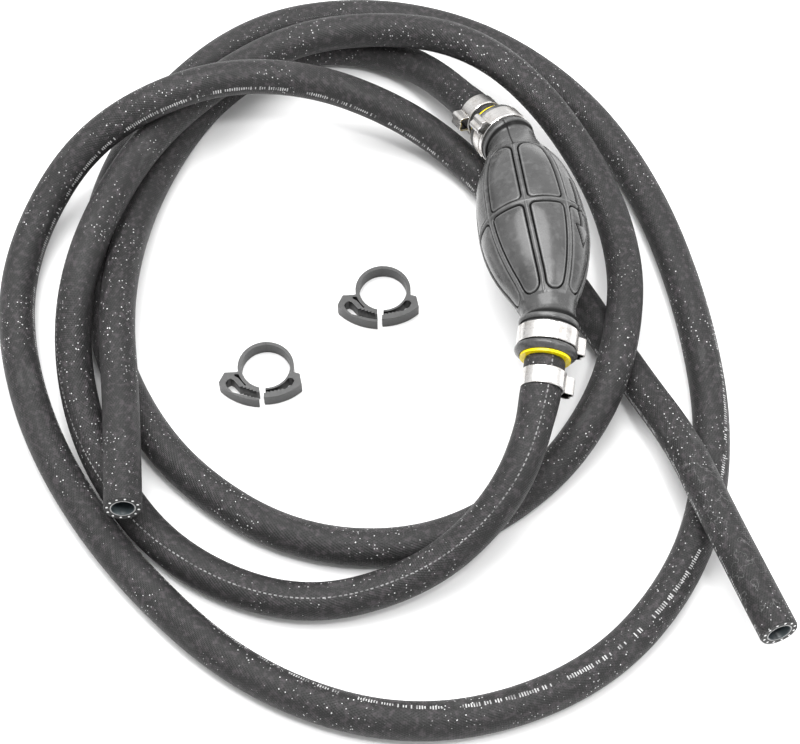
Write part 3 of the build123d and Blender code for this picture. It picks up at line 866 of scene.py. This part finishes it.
def make_dimple(name, radius, turn, matrix):
    """Low pressed hook on the band: a short rounded bump."""
    rings, around = 5, 16
    vertices = []
    for ring in range(rings):
        share = cos(ring / (rings - 1) * pi / 2)
        height = sin(ring / (rings - 1) * pi / 2) * 0.45
        for step in range(around):
            angle = step / around * tau
            across = cos(angle) * 1.5 * max(share, 0.05)
            upward = sin(angle) * 0.9 * max(share, 0.05)
            place = radians(turn) + across / radius
            reach = radius - 0.1 + height
            vertices.append(matrix @ Vector((cos(place) * reach * MM, sin(place) * reach * MM, upward * MM)))
    faces = [tuple(reversed(face)) for face in ring_faces(rings, around)]
    return new_object(name, vertices, faces)


def join(name, pieces):
    """One object from several, keeping each one's sharp edges."""
    whole = bmesh.new()
    for piece in pieces:
        whole.from_mesh(piece.data)
    bmesh.ops.recalc_face_normals(whole, faces=whole.faces)
    mesh = bpy.data.meshes.new(name)
    whole.to_mesh(mesh)
    whole.free()
    joined = bpy.data.objects.new(name, mesh)
    bpy.context.scene.collection.objects.link(joined)
    for piece in pieces:
        bpy.data.objects.remove(piece)
    bevel_smooth(joined)
    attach(joined, "root")
    return joined


make_clamp("inlet_neck_clamp", INLET_PIVOT, INLET_AXIS, Vector((-0.45, -0.43, 0.78)), NECK_SEAT_R, NECK_BAND)
make_clamp("inlet_hose_clamp", INLET_PIVOT, INLET_AXIS, Vector((-0.9, -0.3, 0.2)), HOSE_SEAT_R, HOSE_BAND)
make_clamp("outlet_neck_clamp", OUTLET_PIVOT, OUTLET_AXIS, OUTLET_EAR, NECK_SEAT_R, NECK_BAND)
make_clamp("outlet_hose_clamp", OUTLET_PIVOT, OUTLET_AXIS, OUTLET_EAR, HOSE_SEAT_R, HOSE_BAND)


# --- snap-grip clamps ---
SNAP_EDGE = 0.28 * MM


def make_snap_piece(node, body):
    """The CAD moulding with its edges eased."""
    source = bpy.data.objects[node]
    mesh = source.data.copy()
    mesh.materials.clear()
    shape = bmesh.new()
    shape.from_mesh(mesh)
    bmesh.ops.remove_doubles(shape, verts=shape.verts, dist=1e-6)
    bmesh.ops.dissolve_limit(shape, angle_limit=radians(4), verts=shape.verts, edges=shape.edges)
    shape.to_mesh(mesh)
    shape.free()
    piece = bpy.data.objects.new(f"{node}_nylon", mesh)
    bpy.context.scene.collection.objects.link(piece)
    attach(piece, body)
    bevel = piece.modifiers.new("eased_edges", "BEVEL")
    bevel.width = SNAP_EDGE
    bevel.segments = 3
    bevel.limit_method = "ANGLE"
    bevel.angle_limit = radians(40)
    bevel.use_clamp_overlap = True
    bevel_smooth(piece, 40)
    mesh.materials.append(MATERIALS["nylon"])
    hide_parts(node)


for letter in "ab":
    make_snap_piece(f"snap_clamp_{letter}_base", f"snap_clamp_{letter}")
    make_snap_piece(f"snap_clamp_{letter}_jaw", f"snap_clamp_{letter}_jaw")


def make_spring(end_name):
    """The CAD coil, in spring wire, where it stands between its still end and the poppet."""
    node = f"{end_name}_valve_spring"
    source = bpy.data.objects[node]
    mesh = source.data.copy()
    mesh.materials.clear()
    piece = bpy.data.objects.new(f"{node}_wire", mesh)
    bpy.context.scene.collection.objects.link(piece)
    piece.matrix_world = source.matrix_world.copy()
    mesh.materials.append(MATERIALS["spring"])
    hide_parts(node)
    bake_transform(piece)


make_spring("inlet")
make_spring("outlet")

# --- CAD nodes that are seen as they are ---
NODE_MATERIALS = {
    "valve_body": "yellow", "valve_poppet": "white", "valve_seal": "seal", "valve_retainer": "white",
    "valve_seat": "white",
}
for end_name in ("inlet", "outlet"):
    for suffix, key in NODE_MATERIALS.items():
        node = bpy.data.objects.get(f"{end_name}_{suffix}")
        if node is None:
            continue
        node.data.materials.clear()
        node.data.materials.append(MATERIALS[key])


# --- floor and light ---
def make_floor():
    half = 4.0
    mesh = bpy.data.meshes.new("floor")
    corners = [(-half, -half, 0), (half, -half, 0), (half, half, 0), (-half, half, 0)]
    mesh.from_pydata(corners, [], [(0, 1, 2, 3)])
    floor = bpy.data.objects.new("floor", mesh)
    bpy.context.scene.collection.objects.link(floor)
    mesh.materials.append(floor_material())


def make_light(name, place, aim, size, power, colour=(1, 1, 1)):
    data = bpy.data.lights.new(name, "AREA")
    data.shape = "DISK"
    data.size = size
    data.energy = power
    data.color = colour
    light = bpy.data.objects.new(name, data)
    bpy.context.scene.collection.objects.link(light)
    light.location = place
    light.rotation_euler = (Vector(aim) - Vector(place)).to_track_quat("-Z", "Y").to_euler()


make_floor()
make_light("overhead", (-0.25, 0.35, 1.5), (0, 0, 0), 1.5, 42)
make_light("bulb_gleam", (0.21, -0.34, 1.2), (0.05, 0, 0), 0.16, 5)
make_light("side", (1.2, -0.3, 0.9), (0, 0, 0), 0.9, 8)
world = bpy.data.worlds.new("studio")
world.use_nodes = True
world.node_tree.nodes["Background"].inputs[0].default_value = (1, 1, 1, 1)
world.node_tree.nodes["Background"].inputs[1].default_value = 0.75
bpy.context.scene.world = world
bpy.context.scene.view_settings.view_transform = "Standard"
